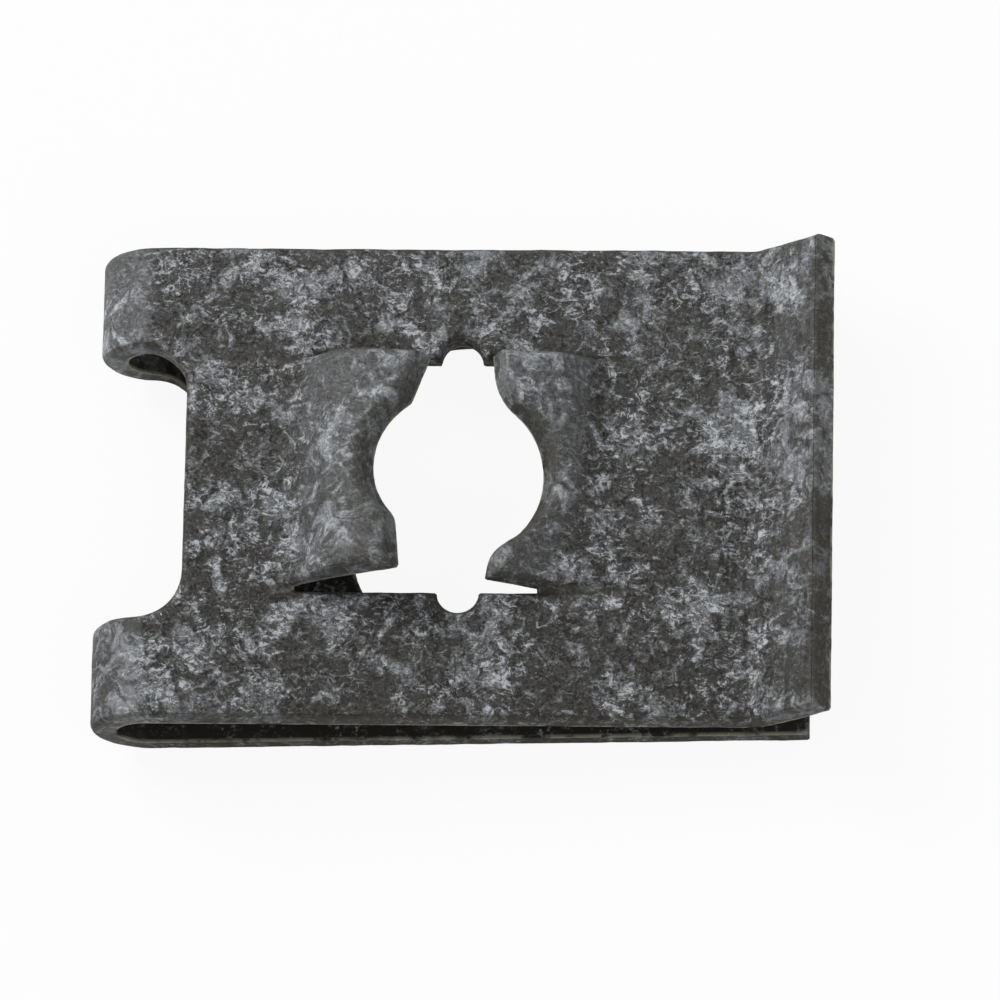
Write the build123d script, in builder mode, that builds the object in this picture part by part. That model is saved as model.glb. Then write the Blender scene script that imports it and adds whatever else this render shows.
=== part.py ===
# U-shaped spring steel clip nut: one folded strip with two thread prongs, sizes in millimetres.
# X runs along the clip with the fold at -X, Y across it, and the plain leaf lies flat on Z = 0.
# The origin is where the screw's axis meets the plain leaf's outer face.
import os
from math import cos, radians, sin, tan

from build123d import *

# Strip
sheet_thickness = 0.8
strip_width = 14.8
strip_offset = 0.22

# Fold and leaves
fold_gap = 1.9
leaf_closing_angle = 3.9
fold_reach = 11.05
plain_leaf_reach = 10.3

# Lip that leads the panel in
lip_start = 8.5
lip_bend_radius = 0.5
lip_bend_angle = 36
lip_curl_radius = 13.6
lip_curl_angle = 9.5

# Notch through the fold
notch_width = 8.5
notch_depth = 2.8
notch_corner_radius = 1.4

# Prong window in the threaded leaf, with slots that open from the prongs' roots to their tips
window_width = 7.35
root_slot = 0.04
tip_slot = 0.3
left_root_reach = 5.8
right_root_reach = 4.8
relief_radius = 0.62
relief_offset = -0.08

# Thread, for a tapping screw of 6.3 mm with a pitch of 1.8 mm
thread_pitch = 1.8
thread_core_diameter = 4.8
left_prong_sweep_angle = 218
left_prong_lift = 2.0
right_prong_sweep_angle = 127
right_prong_lift = 1.23

# Prong edges: how far from the root the shoulder is, its share of the lift, and the slope at the tip
left_far_shoulder_run = 1.7
left_far_shoulder_share = 0.62
left_far_tip_slope = 0.0
left_near_shoulder_run = 0.3
left_near_shoulder_share = 0.085
left_near_tip_slope = 0.49
right_far_shoulder_run = 1.5
right_far_shoulder_share = 0.52
right_far_tip_slope = 0.3
right_near_shoulder_run = 1.05
right_near_shoulder_share = 0.035
right_near_tip_slope = 0.4

# Punch that trims the prongs, square to their lean: a round hole with a gap for the tips
punch_lean_angle = 29
left_punch_lift = 2.33
left_punch_offset = 0.0
left_far_tip = 1.1
left_middle_tip = 1.9
left_near_tip = 1.33
left_far_corner_radius = 0.2
left_near_corner_radius = 1.0
right_punch_lift = 1.12
right_punch_offset = -0.25
right_far_tip = 0.6
right_middle_tip = 1.15
right_near_tip = 0.72
right_far_corner_radius = 1.6
right_near_corner_radius = 1.0

# Clearance opening in the plain leaf
clearance_width = 7.0
clearance_length = 9.8

fold_radius = fold_gap / 2 + sheet_thickness
fold_centre = fold_radius - fold_reach
left_half_twist = thread_pitch * left_prong_sweep_angle / 360 / 2
right_half_twist = thread_pitch * right_prong_sweep_angle / 360 / 2
hole_radius = thread_core_diameter / 2
overall_height = 2 * fold_radius + 2 * thread_pitch
half_window = window_width / 2
closing_angle = radians(leaf_closing_angle)
closing_slope = tan(closing_angle)
leaf_normal = (sin(closing_angle), 0, cos(closing_angle))
inner_leaf_height = fold_radius + fold_gap / 2 / cos(closing_angle) + fold_centre * closing_slope
inner_leaf_face = Plane(origin=(0, 0, inner_leaf_height), x_dir=(1, 0, -closing_slope), z_dir=leaf_normal)


def prong_edge(side, across, root_reach, lift, shoulder_run, shoulder_share, tip_slope):
    """Section along one edge of an untrimmed prong, from its root on the given side to the axis."""

    def raised(at):
        """Point of the upper face over a point of the lower one."""
        along = lower % at
        return lower @ at + side * sheet_thickness * Vector(along.Y, -along.X)

    tip_y = across * (half_window - tip_slot)
    root_y = across * (half_window - root_slot)
    axis_point = inner_leaf_face.from_local_coords((0, tip_y))
    root_point = inner_leaf_face.from_local_coords((side * root_reach, root_y))
    along_edge = side * (root_point - axis_point)
    upright = Plane(origin=axis_point, x_dir=along_edge, z_dir=along_edge.cross(inner_leaf_face.z_dir))
    root = (side * along_edge.length, 0)
    shoulder_point = (side * (root_reach - shoulder_run), shoulder_share * lift)
    tip_point = (side * hole_radius / 2, lift)
    with BuildSketch(upright) as section:
        with BuildLine():
            lower = Spline(root, shoulder_point, tip_point, tangents=((-side, 0), (-side, tip_slope)))
            upper = Spline(raised(0), raised(0.5), raised(1), tangents=(lower % 0, lower % 1))
            last_lower = PolarLine(lower @ 1, hole_radius / 2, direction=lower % 1)
            last_upper = PolarLine(upper @ 1, hole_radius / 2, direction=lower % 1)
            Line(lower @ 0, upper @ 0)
            Line(last_lower @ 1, last_upper @ 1)
        make_face()
    return section.sketch


def punch_outline(side, lift, offset, far_tip, middle_tip, near_tip, far_radius, near_radius):
    """Outline of the punch for one side's prong, on a plane square to that prong's lean."""

    def hole_ends():
        """Corners where the round hole meets the tips, the far one first."""
        corners = punch.vertices().filter_by_position(Axis.Y, -half_window, half_window, (False, False))
        return corners.sort_by(Axis.Y, reverse=side > 0)

    lean = radians(punch_lean_angle)
    square_to_prong = Plane(
        origin=(0, 0, inner_leaf_height + lift),
        x_dir=(side * cos(lean), 0, -sin(lean)),
        z_dir=(side * sin(lean), 0, cos(lean)),
    )
    far_side = side * half_window
    with BuildSketch(square_to_prong) as punch:
        with Locations((0, side * offset)):
            Circle(hole_radius)
        with BuildLine():
            tips = Polyline((far_tip, far_side), (middle_tip, 0), (near_tip, -far_side))
            Polyline(tips @ 1, (-strip_width, -far_side), (-strip_width, far_side), tips @ 0)
        make_face()
        fillet(hole_ends().first, far_radius)
        fillet(hole_ends().last, near_radius)
    return punch.sketch


# Folded strip
with BuildPart() as strip:
    with BuildSketch(Plane.XZ.offset(strip_offset)):
        with BuildLine():
            plain_leaf = Line((plain_leaf_reach, 0), (fold_centre, 0))
            fold = JernArc(plain_leaf @ 1, plain_leaf % 1, fold_radius, -180 - leaf_closing_angle)
            leaf_run = (lip_start - (fold @ 1).X) / cos(closing_angle)
            threaded_leaf = PolarLine(fold @ 1, leaf_run, direction=fold % 1)
            lip_bend = JernArc(threaded_leaf @ 1, threaded_leaf % 1, lip_bend_radius, lip_bend_angle)
            JernArc(lip_bend @ 1, lip_bend % 1, lip_curl_radius, lip_curl_angle)
            offset(amount=sheet_thickness, side=Side.RIGHT)
        make_face()
    extrude(amount=strip_width / 2, both=True)

    # Notch that leaves two fold arms
    with BuildSketch(Plane.XY):
        with Locations((-fold_reach, -strip_offset)):
            RectangleRounded(2 * notch_depth, notch_width, notch_corner_radius)
    extrude(amount=overall_height, mode=Mode.SUBTRACT)

    # Window for the prongs, with relief holes at its middle
    with BuildSketch(inner_leaf_face):
        with Locations(((right_root_reach - left_root_reach) / 2, 0)):
            Rectangle(left_root_reach + right_root_reach, window_width)
        with Locations((relief_offset, half_window), (relief_offset, -half_window)):
            Circle(relief_radius)
    extrude(amount=sheet_thickness, mode=Mode.SUBTRACT)

    # Clearance opening in the plain leaf
    with BuildSketch(Plane.XY):
        SlotOverall(clearance_length, clearance_width, rotation=90)
    extrude(amount=sheet_thickness, mode=Mode.SUBTRACT)

# Left prong, which carries the upper part of the thread's turn
with BuildPart() as left_prong:
    far_lift = left_prong_lift - left_half_twist
    near_lift = left_prong_lift + left_half_twist
    far_shape = (left_far_shoulder_run, left_far_shoulder_share, left_far_tip_slope)
    near_shape = (left_near_shoulder_run, left_near_shoulder_share, left_near_tip_slope)
    add(prong_edge(-1, 1, left_root_reach, far_lift, *far_shape))
    add(prong_edge(-1, -1, left_root_reach, near_lift, *near_shape))
    loft(ruled=True)
    tips = (left_far_tip, left_middle_tip, left_near_tip)
    corner_radii = (left_far_corner_radius, left_near_corner_radius)
    left_punch = punch_outline(-1, left_punch_lift, left_punch_offset, *tips, *corner_radii)
    extrude(left_punch, amount=overall_height, both=True, mode=Mode.SUBTRACT)

# Right prong, which carries the lower part
with BuildPart() as right_prong:
    far_lift = right_prong_lift + right_half_twist
    near_lift = right_prong_lift - right_half_twist
    far_shape = (right_far_shoulder_run, right_far_shoulder_share, right_far_tip_slope)
    near_shape = (right_near_shoulder_run, right_near_shoulder_share, right_near_tip_slope)
    add(prong_edge(1, 1, right_root_reach, far_lift, *far_shape))
    add(prong_edge(1, -1, right_root_reach, near_lift, *near_shape))
    loft(ruled=True)
    tips = (right_far_tip, right_middle_tip, right_near_tip)
    corner_radii = (right_far_corner_radius, right_near_corner_radius)
    right_punch = punch_outline(1, right_punch_lift, right_punch_offset, *tips, *corner_radii)
    extrude(right_punch, amount=overall_height, both=True, mode=Mode.SUBTRACT)

# The strip and its prongs are one sheet
with BuildPart() as clip_nut:
    add(strip)
    add(left_prong)
    add(right_prong)

clip_nut.part.label = "clip_nut"
os.makedirs("parts", exist_ok=True)
export_step(clip_nut.part, "parts/clip_nut.step")
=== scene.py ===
from math import radians, sqrt

import bmesh
import bpy
import numpy as np
from mathutils import Matrix, Vector, noise
from mathutils.bvhtree import BVHTree
from mathutils.kdtree import KDTree


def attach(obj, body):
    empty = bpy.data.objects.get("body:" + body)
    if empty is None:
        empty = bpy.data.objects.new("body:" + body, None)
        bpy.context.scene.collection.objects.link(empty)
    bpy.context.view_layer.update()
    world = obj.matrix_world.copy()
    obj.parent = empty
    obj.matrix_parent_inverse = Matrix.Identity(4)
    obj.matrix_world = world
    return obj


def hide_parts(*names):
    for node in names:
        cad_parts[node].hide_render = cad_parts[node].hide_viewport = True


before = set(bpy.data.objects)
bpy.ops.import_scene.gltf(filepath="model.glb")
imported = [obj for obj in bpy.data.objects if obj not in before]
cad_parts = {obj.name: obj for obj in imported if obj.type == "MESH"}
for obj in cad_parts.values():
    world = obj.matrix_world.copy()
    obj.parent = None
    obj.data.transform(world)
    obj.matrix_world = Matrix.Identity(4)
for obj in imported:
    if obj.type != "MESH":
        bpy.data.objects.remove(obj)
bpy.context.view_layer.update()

MM = 0.001

# Places along the clip, in millimetres like every size of the clip here
fold_axis = Vector((-9.3, 0, 1.75))
fold_side_end = -9.0
lip_bend = 8.6
lip_end_start = 10.6
between_leaves = 1.4
prong_zone = 5.6
leaf_top_at_axis = 2.87
leaf_slope = 0.0682

# How squarely a face looks along an axis, as shares of one
side_cut_share = 0.7
fold_cut_share = 0.3
lip_cut_share = 0.5
sheet_face_share = 0.6

# Mesh of the pressed clip
weld_gap = 0.001
voxel_size = 0.085
most_triangles = 190000
edge_point_gap = 0.03
snap_reach = 0.08
crease_angle = 35

# Rolled edges
edge_roll_radius = 0.24
edge_roll_change = 0.25
edge_roll_changes_per_mm = 1.3
# Reach of the edge masks that carry rubbed wear, painted shade and painted highlights
edge_wear_and_shade_reach = 0.45
lip_formed_share = 0.4

# Relief of the skin, with the fade, step and number of the layers in its finer parts
ripple_height = 0.010
ripples_per_mm = 0.45
dent_height = 0.008
dents_per_mm = 1.7
dent_layers = (0.9, 2.1, 3)
pit_height = 0.004
pits_per_mm = 4.5
pit_layers = (0.8, 2.2, 2)

# Tones of the clip
bare_coat = (0.017, 0.016, 0.014)
dull_coat = (0.063, 0.062, 0.059)
worn_coat = (0.185, 0.192, 0.205)
pale_coat = (0.48, 0.50, 0.52)
# Colour of the cut faces, also painted as shade over the rolled edges
sheared_steel_and_roll_shade = (0.050, 0.046, 0.034)
# Pale edge colour: rubbed steel, partly a painted highlight
burnished_edge_and_highlight = (0.40, 0.39, 0.29)

# Wear at which the coat reaches each of its tones
coat_tones = ((0.0, bare_coat), (0.30, dull_coat), (0.62, worn_coat), (1.0, pale_coat))

# What each effect adds to the wear, and the painted shade on the inner faces and painted light on the
# far side
least_wear = 0.19
patch_wear = 0.33
fleck_wear = 0.36
thread_wear = 0.32
pit_wear = -0.22
grain_wear = 0.9
streak_wear = 0.55
formed_wear = 0.15
# Painted shade: darkens the inner faces of the sheet, between the leaves and under the prongs
inner_face_shade = -0.4
# Painted light: the side of the clip away from the camera made paler
painted_far_side_light = 0.007

# How far edges and cuts cover the coat, painted shade on the rolled edges and painted highlights on
# the crests and burrs included
cut_cover = 0.4
# Painted shade laid over the rolled outer edges
roll_shade_cover = 0.4
# Painted highlight, mixed with rubbed wear, on the crests and burrs
crest_wear_and_highlight = 0.5
burr_wear_and_highlight = 0.6

# Surface of the coat
formed_crispness = 0.5
coat_specular = 0.2
coat_roughness = 0.62
worn_roughness = 0.48
coat_bump_strength = 0.6
coat_bump_depth = 0.03

# Floor and lights, in metres and watts
white = (1, 1, 1, 1)
floor_grey = (0.8, 0.8, 0.8, 1)
floor_roughness = 0.9
floor_white_share = 0.92
floor_size = 1.2
floor_drop = 0.00002
light_aim = Vector((0, 0, 0.002))
key_place = (-0.28, 0.22, 0.30)
key_size = 0.22
key_power = 1.6
fill_place = (0.25, -0.25, 0.35)
fill_size = 0.35
fill_power = 0.5
room_strength = 0.45

# Camera, fitted to the photograph
camera_target = Vector((1.048, -0.381, 1.5))
camera_distance = 301.5
camera_tilt = 18.92
camera_yaw = 5.80
camera_roll = -0.86
camera_clip_start = 0.01
sensor_width = 36.0
camera_lens = 363.06

# Places of the colour sockets on a Mix node
mix_colours = (6, 7)
mix_result = 2


# Shaping the clip

def copied_clip():
    """Copy of the folded clip in millimetres, with its split corners joined."""
    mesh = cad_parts["clip_nut"].data.copy()
    mesh.materials.clear()
    mesh.transform(Matrix.Scale(1 / MM, 4))
    joined = bmesh.new()
    joined.from_mesh(mesh)
    bmesh.ops.remove_doubles(joined, verts=joined.verts, dist=weld_gap)
    joined.normal_update()
    joined.faces.ensure_lookup_table()
    return joined


def is_sheared(face):
    """Whether a face was cut through the sheet, and isn't one of the sheet's own two faces."""
    normal = face.normal
    centre = face.calc_center_median()
    if centre.x < fold_side_end:
        return abs(normal.y) > fold_cut_share
    if abs(normal.y) > side_cut_share:
        return True
    if centre.x > lip_end_start:
        return normal.x > lip_cut_share and normal.z > 0
    return abs(normal.z) < sheet_face_share


def is_outer(face):
    """Whether a face of the sheet is on the outside of the fold, where the punch went in."""
    centre = face.calc_center_median()
    if centre.x < fold_side_end:
        return face.normal.dot(centre - fold_axis) > 0
    if centre.z < between_leaves and centre.x < lip_end_start:
        return face.normal.z < 0
    return face.normal.z > 0


def cut_edge_points(joined, sheared, outer):
    """Points along the edges of the cut faces, on the sheet's outer or inner side."""
    points = []
    for edge in joined.edges:
        if len(edge.link_faces) != 2:
            continue
        first, second = edge.link_faces
        if sheared[first.index] == sheared[second.index]:
            continue
        sheet_face = second if sheared[first.index] else first
        if is_outer(sheet_face) != outer:
            continue
        start, end = edge.verts[0].co, edge.verts[1].co
        steps = max(1, int((end - start).length / edge_point_gap))
        points += [start.lerp(end, step / steps) for step in range(steps + 1)]
    return points


def lookup(points):
    """Lookup of the nearest of the points."""
    tree = KDTree(len(points))
    for index, point in enumerate(points):
        tree.insert(point, index)
    tree.balance()
    return tree


def applied(piece):
    """Turns the piece's modifiers into its mesh."""
    bpy.context.view_layer.update()
    graph = bpy.context.evaluated_depsgraph_get()
    shaped = bpy.data.meshes.new_from_object(piece.evaluated_get(graph))
    rough = piece.data
    piece.modifiers.clear()
    piece.data = shaped
    bpy.data.meshes.remove(rough)


def remeshed(joined):
    """Even mesh over the clip, fine enough to carry its wear."""
    mesh = bpy.data.meshes.new("pressed_clip")
    joined.to_mesh(mesh)
    piece = bpy.data.objects.new("pressed_clip", mesh)
    bpy.context.scene.collection.objects.link(piece)
    remesh = piece.modifiers.new("even mesh", "REMESH")
    remesh.mode = "VOXEL"
    remesh.voxel_size = voxel_size
    applied(piece)
    return piece


def snap_to_clip(mesh, faces, inner_edges):
    """Lays each point back on the clip, with the sharp inner edges kept crisp."""
    for vertex in mesh.vertices:
        edge_point, _, distance = inner_edges.find(vertex.co)
        on_face = faces.find_nearest(vertex.co)[0]
        vertex.co = edge_point if distance < snap_reach else on_face


def roll_depth(point, distance):
    """How far the punch drew the sheet down at a distance from its outer edge."""
    radius = edge_roll_radius * (1 + edge_roll_change * noise.noise(point * edge_roll_changes_per_mm))
    if distance >= radius:
        return 0.0
    inward = radius - distance
    depth = radius - sqrt(radius ** 2 - inward ** 2)
    depth_at_corner = (sqrt(2) - 1) * radius
    return min(depth, depth_at_corner)


def surface_relief(point):
    """Shallow dents and ripples of the pressed and coated sheet."""
    ripple = noise.noise(point * ripples_per_mm)
    dents = noise.fractal(point * dents_per_mm, *dent_layers)
    pits = noise.fractal(point * pits_per_mm, *pit_layers)
    return ripple_height * ripple + dent_height * dents + pit_height * pits


def press_surface(mesh, outer_edges):
    """Rolls the outer edges and gives the sheet its slightly uneven skin."""
    normals = [vertex.normal.copy() for vertex in mesh.vertices]
    for vertex, normal in zip(mesh.vertices, normals):
        point = vertex.co.copy()
        distance = outer_edges.find(point)[2]
        vertex.co = point + normal * (surface_relief(point) - roll_depth(point, distance))


def thin_out(piece):
    """Fewer triangles where the sheet is flat."""
    triangles = sum(len(face.vertices) - 2 for face in piece.data.polygons)
    if triangles > most_triangles:
        decimate = piece.modifiers.new("fewer triangles", "DECIMATE")
        decimate.ratio = most_triangles / triangles
        applied(piece)


def formed_share(point):
    """How far the sheet is bent there: all of it in the fold, part of it in the prongs and lip."""
    if point.x < fold_side_end:
        return min(1.0, fold_side_end - point.x)
    if point.x > lip_bend:
        return lip_formed_share * min(1.0, point.x - lip_bend)
    if abs(point.x) > prong_zone or point.z < between_leaves:
        return 0.0
    return min(1.0, max(0.0, point.z - (leaf_top_at_axis - leaf_slope * point.x)))


def edge_share(edges, point):
    """One on the nearest of the edges, falling to nothing past the reach of its wear, painted shade
    and painted highlight.
    """
    return max(0.0, 1 - edges.find(point)[2] / edge_wear_and_shade_reach)


def store(mesh, name, values):
    """Keeps one value per point of the mesh for its material."""
    layer = mesh.attributes.new(name, "FLOAT", "POINT")
    layer.data.foreach_set("value", np.array(values, np.float32))


def mark_wear_and_shade(mesh, faces, sheared, inner_side, outer_edges, inner_edges):
    """Stores where the sheet is cut, on its inner side (kept for painted shade), rolled, sharp or
    bent.
    """
    points = [vertex.co for vertex in mesh.vertices]
    nearest = [faces.find_nearest(point)[2] for point in points]
    store(mesh, "sheared", [sheared[face] for face in nearest])
    store(mesh, "inner_side", [inner_side[face] for face in nearest])
    store(mesh, "rolled_edge", [edge_share(outer_edges, point) for point in points])
    store(mesh, "inner_edge", [edge_share(inner_edges, point) for point in points])
    store(mesh, "formed", [formed_share(point) for point in points])


def shape_clip():
    """The clip with rolled edges and a slightly uneven skin."""
    joined = copied_clip()
    sheared = [is_sheared(face) for face in joined.faces]
    # Inner faces of the sheet, darkened in the material as painted shade
    inner_side = [not (cut or is_outer(face)) for cut, face in zip(sheared, joined.faces)]
    faces = BVHTree.FromBMesh(joined)
    outer_edges = lookup(cut_edge_points(joined, sheared, outer=True))
    inner_edges = lookup(cut_edge_points(joined, sheared, outer=False))
    piece = remeshed(joined)
    joined.free()
    snap_to_clip(piece.data, faces, inner_edges)
    press_surface(piece.data, outer_edges)
    thin_out(piece)
    mark_wear_and_shade(piece.data, faces, sheared, inner_side, outer_edges, inner_edges)
    piece.data.transform(Matrix.Scale(MM, 4))
    piece.data.shade_smooth()
    piece.data.set_sharp_from_angle(angle=radians(crease_angle))
    return piece


# Node helpers

def link(tree, source, target):
    """Joins a socket to another one, or sets that one to a plain value."""
    if isinstance(source, bpy.types.NodeSocket):
        tree.links.new(source, target)
    else:
        target.default_value = source


def calc(tree, operation, first, second=0.0):
    """Result of a sum on two values, each a socket or a number."""
    made = tree.nodes.new("ShaderNodeMath")
    made.operation = operation
    link(tree, first, made.inputs[0])
    link(tree, second, made.inputs[1])
    return made.outputs["Value"]


def times(tree, first, second):
    """Product of two values."""
    return calc(tree, "MULTIPLY", first, second)


def weighed(tree, *pairs):
    """Sum of values, each times its own weight."""
    total = 0.0
    for value, weight in pairs:
        total = calc(tree, "ADD", total, times(tree, value, weight))
    return total


def between(tree, value, low, high, at_low=0.0, at_high=1.0):
    """Smooth step from one value to another as the input goes from low to high."""
    made = tree.nodes.new("ShaderNodeMapRange")
    made.interpolation_type = "SMOOTHSTEP"
    link(tree, value, made.inputs["Value"])
    link(tree, low, made.inputs["From Min"])
    link(tree, high, made.inputs["From Max"])
    link(tree, at_low, made.inputs["To Min"])
    link(tree, at_high, made.inputs["To Max"])
    return made.outputs["Result"]


def cloud(tree, vector, scale, detail, roughness, distortion=0.0):
    """Noise over the given coordinates."""
    made = tree.nodes.new("ShaderNodeTexNoise")
    link(tree, vector, made.inputs["Vector"])
    link(tree, scale, made.inputs["Scale"])
    link(tree, detail, made.inputs["Detail"])
    link(tree, roughness, made.inputs["Roughness"])
    link(tree, distortion, made.inputs["Distortion"])
    return made.outputs["Fac"]


def moved(tree, vector, scale=(1, 1, 1), turn=(0, 0, 0), shift=(0, 0, 0)):
    """Moved, turned and stretched coordinates."""
    made = tree.nodes.new("ShaderNodeMapping")
    link(tree, vector, made.inputs["Vector"])
    link(tree, scale, made.inputs["Scale"])
    link(tree, [radians(angle) for angle in turn], made.inputs["Rotation"])
    link(tree, shift, made.inputs["Location"])
    return made.outputs["Vector"]


def mixed(tree, factor, first, second):
    """Mix of two colours, each a socket or a plain colour."""
    made = tree.nodes.new("ShaderNodeMix")
    made.data_type = "RGBA"
    link(tree, factor, made.inputs["Factor"])
    for value, place in zip((first, second), mix_colours):
        link(tree, (*value, 1.0) if isinstance(value, tuple) else value, made.inputs[place])
    return made.outputs[mix_result]


def tone_ramp(tree, value, stops):
    """Colour ramp through the given tones."""
    made = tree.nodes.new("ShaderNodeValToRGB")
    ramp = made.color_ramp
    while len(ramp.elements) < len(stops):
        ramp.elements.new(1.0)
    for element, (place, tone) in zip(ramp.elements, stops):
        element.position = place
        element.color = (*tone, 1.0)
    link(tree, value, made.inputs["Fac"])
    return made.outputs["Color"]


def stored(tree, name):
    """Value kept on the mesh under a name."""
    made = tree.nodes.new("ShaderNodeAttribute")
    made.attribute_name = name
    return made.outputs["Fac"]


def new_group(name, takes, gives):
    """Empty node group with named inputs and outputs."""
    group = bpy.data.node_groups.new(name, "ShaderNodeTree")
    for socket_name, socket_type in takes.items():
        group.interface.new_socket(socket_name, in_out="INPUT", socket_type=socket_type)
    for socket_name in gives:
        group.interface.new_socket(socket_name, in_out="OUTPUT", socket_type="NodeSocketFloat")
    inside = group.nodes.new("NodeGroupInput")
    outside = group.nodes.new("NodeGroupOutput")
    return group, inside.outputs, outside.inputs


def placed(tree, group, **inputs):
    """Outputs of a group placed in a material with its own input values."""
    made = tree.nodes.new("ShaderNodeGroup")
    made.node_tree = group
    for name, value in inputs.items():
        link(tree, value, made.inputs[name])
    return made.outputs


# Effects

def torn_coat_group():
    """Phosphate coat torn into patches, flecks and threads, over coordinates in millimetres."""
    takes = {"Vector": "NodeSocketVector", "Crispness": "NodeSocketFloat"}
    group, given, results = new_group("torn coat", takes, ["Wear", "Grain"])
    where = given["Vector"]

    # Patches
    broad = cloud(group, where, scale=0.42, detail=2, roughness=0.55, distortion=0.5)
    turned = moved(group, where, turn=(0, 0, 30))
    torn = cloud(group, turned, scale=1.5, detail=4, roughness=0.70, distortion=1.0)
    patches = between(group, weighed(group, (broad, 0.50), (torn, 0.66)), low=0.54, high=0.68)

    # Flecks
    stretched = moved(group, where, scale=(1, 1.5, 1), turn=(0, 0, 55), shift=(3, 8, 1))
    flake = cloud(group, stretched, scale=2.5, detail=3, roughness=0.70, distortion=1.9)
    flecks = between(group, weighed(group, (flake, 0.8), (torn, 0.25)), low=0.54, high=0.61)

    # Curled threads, where the coat is torn
    beside = moved(group, where, shift=(11, 3, 7))
    veins = cloud(group, beside, scale=2.2, detail=3, roughness=0.60, distortion=2.0)
    off_ridge = calc(group, "ABSOLUTE", calc(group, "SUBTRACT", veins, 0.5))
    ridges = between(group, off_ridge, low=0.0, high=0.026, at_low=1.0, at_high=0.0)
    threads = times(group, ridges, between(group, torn, low=0.42, high=0.56))

    # Dark pits
    apart = moved(group, where, shift=(2, 4, 9))
    hollow = cloud(group, apart, scale=3.2, detail=3, roughness=0.68, distortion=1.4)
    pits = between(group, hollow, low=0.38, high=0.45, at_low=1.0, at_high=0.0)

    # Grain
    coarse_grain = cloud(group, where, scale=8, detail=1, roughness=0.7)
    fine_grain = cloud(group, where, scale=17, detail=0, roughness=0.5)
    grain = weighed(group, (coarse_grain, 0.6), (fine_grain, 0.4))
    centred_grain = calc(group, "SUBTRACT", grain, 0.5)

    # Busy and calm stretches
    away = moved(group, where, shift=(5, 9, 2))
    stretches = cloud(group, away, scale=0.5, detail=3, roughness=0.6, distortion=0.6)
    busy = between(group, stretches, low=0.40, high=0.60, at_low=0.55, at_high=1.3)

    marks = times(group, weighed(group, (flecks, fleck_wear), (threads, thread_wear)), busy)
    fine_wear = weighed(group, (marks, 1.0), (pits, pit_wear), (centred_grain, grain_wear))
    crisp_wear = times(group, fine_wear, given["Crispness"])
    wear = weighed(group, (patches, patch_wear), (crisp_wear, 1.0))
    link(group, calc(group, "ADD", wear, least_wear), results["Wear"])
    link(group, grain, results["Grain"])
    return group


# Materials

def phosphate_coat(torn_coat):
    """Dark phosphate coat, worn pale in patches, with sheared edges showing, painted shade on the
    inner faces and rolled edges, painted highlights on the edge crests and burrs, and painted light
    toward the far side.
    """
    material = bpy.data.materials.new("phosphate_coat")
    material.use_nodes = True
    tree = material.node_tree
    surface = tree.nodes["Principled BSDF"]
    place = tree.nodes.new("ShaderNodeTexCoord").outputs["Object"]
    where = moved(tree, place, scale=(1 / MM, 1 / MM, 1 / MM))
    sides = tree.nodes.new("ShaderNodeSeparateXYZ")
    link(tree, where, sides.inputs["Vector"])

    # Wear of the coat, with painted shade on the inner faces and painted light on the far side
    formed = between(tree, stored(tree, "formed"), low=0.1, high=0.6)
    crispness = between(tree, formed, low=0, high=1, at_low=1.0, at_high=formed_crispness)
    coat = placed(tree, torn_coat, Vector=where, Crispness=crispness)
    along_strip = moved(tree, where, scale=(4.5, 0.55, 1))
    streak = cloud(tree, along_strip, scale=1.0, detail=5, roughness=0.65, distortion=0.4)
    toward_lip = between(tree, sides.outputs["X"], low=4.0, high=8.0)
    wear = weighed(
        tree,
        (coat["Wear"], 1.0),
        # Painted light, paler toward the far side
        (sides.outputs["Y"], painted_far_side_light),
        (times(tree, calc(tree, "SUBTRACT", streak, 0.5), toward_lip), streak_wear),
        (formed, formed_wear),
        # Painted shade on the inner faces
        (stored(tree, "inner_side"), inner_face_shade),
    )
    coat_tone = tone_ramp(tree, wear, coat_tones)

    # Cut faces, and painted shade on the rolled edge beside them
    cut = times(tree, stored(tree, "sheared"), cut_cover)
    roll_shade_mask = between(tree, stored(tree, "rolled_edge"), low=0.45, high=0.95)
    with_cut = mixed(tree, cut, coat_tone, sheared_steel_and_roll_shade)
    with_roll = mixed(tree, times(tree, roll_shade_mask, roll_shade_cover), with_cut, sheared_steel_and_roll_shade)

    # Rubbed edges, partly real wear and partly painted highlight along the crests and burrs
    rub_place = moved(tree, where, shift=(7, 1, 3))
    rub = cloud(tree, rub_place, scale=1.3, detail=3, roughness=0.6, distortion=0.5)
    crest = between(tree, stored(tree, "rolled_edge"), low=0.80, high=0.98)
    burr = between(tree, stored(tree, "inner_edge"), low=0.72, high=0.95)
    edge_wear_and_highlight = calc(tree, "MAXIMUM", times(tree, crest, crest_wear_and_highlight), times(tree, burr, burr_wear_and_highlight))
    rubbed_and_highlit = times(tree, edge_wear_and_highlight, between(tree, rub, low=0.36, high=0.58))
    # Painted highlight mixed with rubbed wear along the edges
    link(tree, mixed(tree, rubbed_and_highlit, with_roll, burnished_edge_and_highlight), surface.inputs["Base Color"])

    # Sheen and relief
    surface.inputs["Specular IOR Level"].default_value = coat_specular
    sheen = between(tree, wear, low=0.1, high=0.8, at_low=coat_roughness, at_high=worn_roughness)
    link(tree, sheen, surface.inputs["Roughness"])
    bump = tree.nodes.new("ShaderNodeBump")
    bump.inputs["Strength"].default_value = coat_bump_strength
    bump.inputs["Distance"].default_value = coat_bump_depth * MM
    link(tree, weighed(tree, (wear, 0.7), (coat["Grain"], 0.3)), bump.inputs["Height"])
    link(tree, bump.outputs["Normal"], surface.inputs["Normal"])
    return material


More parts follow.
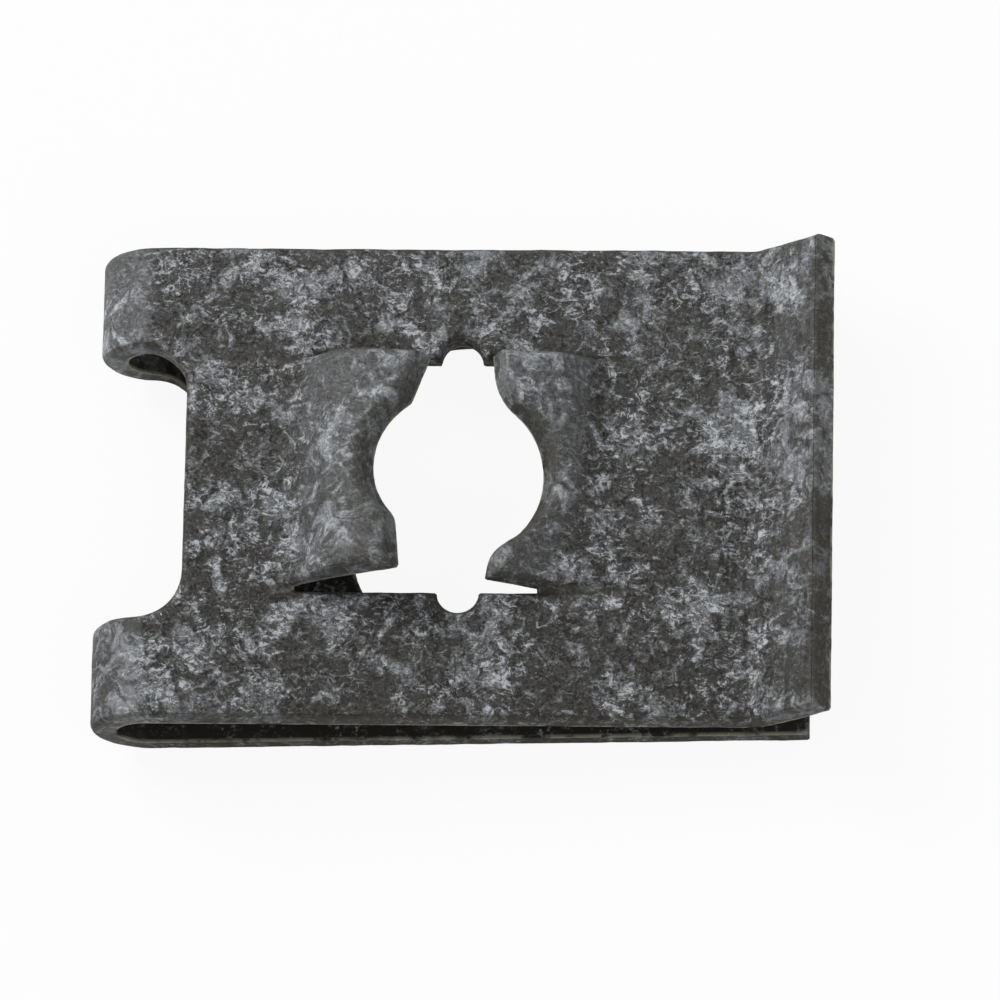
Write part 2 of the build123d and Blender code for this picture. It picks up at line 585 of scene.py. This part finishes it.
def floor_paint():
    """Plain pale floor that shows white and keeps a soft shadow."""
    material = bpy.data.materials.new("pale_floor")
    material.use_nodes = True
    tree = material.node_tree
    surface = tree.nodes["Principled BSDF"]
    surface.inputs["Base Color"].default_value = floor_grey
    surface.inputs["Roughness"].default_value = floor_roughness
    rays = tree.nodes.new("ShaderNodeLightPath")
    glow = tree.nodes.new("ShaderNodeEmission")
    glow.inputs["Color"].default_value = white
    blend = tree.nodes.new("ShaderNodeMixShader")
    seen = calc(tree, "MAXIMUM", rays.outputs["Is Camera Ray"], rays.outputs["Is Transmission Ray"])
    link(tree, times(tree, seen, floor_white_share), blend.inputs["Fac"])
    link(tree, surface.outputs["BSDF"], blend.inputs[1])
    link(tree, glow.outputs["Emission"], blend.inputs[2])
    link(tree, blend.outputs["Shader"], tree.nodes["Material Output"].inputs["Surface"])
    return material


# Studio

def lay_floor():
    """Floor under the clip."""
    bpy.ops.mesh.primitive_plane_add(size=floor_size, location=(0, 0, -floor_drop))
    floor = bpy.context.object
    floor.name = "floor"
    floor.data.materials.append(floor_paint())


def softbox(name, place, size, power):
    """Square soft light that faces the clip."""
    light = bpy.data.lights.new(name, "AREA")
    light.shape = "SQUARE"
    light.size = size
    light.energy = power
    lamp = bpy.data.objects.new(name, light)
    bpy.context.scene.collection.objects.link(lamp)
    lamp.location = place
    lamp.rotation_euler = (light_aim - Vector(place)).to_track_quat("-Z", "Y").to_euler()


def light_room():
    """Even light from all around, in front of a white backdrop."""
    world = bpy.data.worlds.new("studio")
    bpy.context.scene.world = world
    world.use_nodes = True
    tree = world.node_tree
    room = tree.nodes["Background"]
    room.inputs["Color"].default_value = white
    room.inputs["Strength"].default_value = room_strength
    backdrop = tree.nodes.new("ShaderNodeBackground")
    backdrop.inputs["Color"].default_value = white
    rays = tree.nodes.new("ShaderNodeLightPath")
    blend = tree.nodes.new("ShaderNodeMixShader")
    link(tree, rays.outputs["Is Camera Ray"], blend.inputs["Fac"])
    link(tree, room.outputs["Background"], blend.inputs[1])
    link(tree, backdrop.outputs["Background"], blend.inputs[2])
    link(tree, blend.outputs["Shader"], tree.nodes["World Output"].inputs["Surface"])


def set_camera():
    """Camera at the photograph's viewing angle."""
    view = bpy.data.cameras.new("camera")
    view.sensor_width = sensor_width
    view.lens = camera_lens
    view.clip_start = camera_clip_start
    camera = bpy.data.objects.new("camera", view)
    bpy.context.scene.collection.objects.link(camera)
    camera.matrix_world = (
        Matrix.Translation(camera_target * MM)
        @ Matrix.Rotation(radians(camera_tilt), 4, "X")
        @ Matrix.Rotation(radians(camera_yaw), 4, "Y")
        @ Matrix.Rotation(radians(camera_roll), 4, "Z")
        @ Matrix.Translation((0, 0, camera_distance * MM))
    )
    bpy.context.scene.camera = camera


# Put together

set_camera()
lay_floor()
softbox("key", key_place, key_size, key_power)
softbox("fill", fill_place, fill_size, fill_power)
light_room()
clip = shape_clip()
clip.data.materials.append(phosphate_coat(torn_coat_group()))
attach(clip, "root")
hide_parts("clip_nut")
bpy.context.scene.view_settings.view_transform = "Standard"
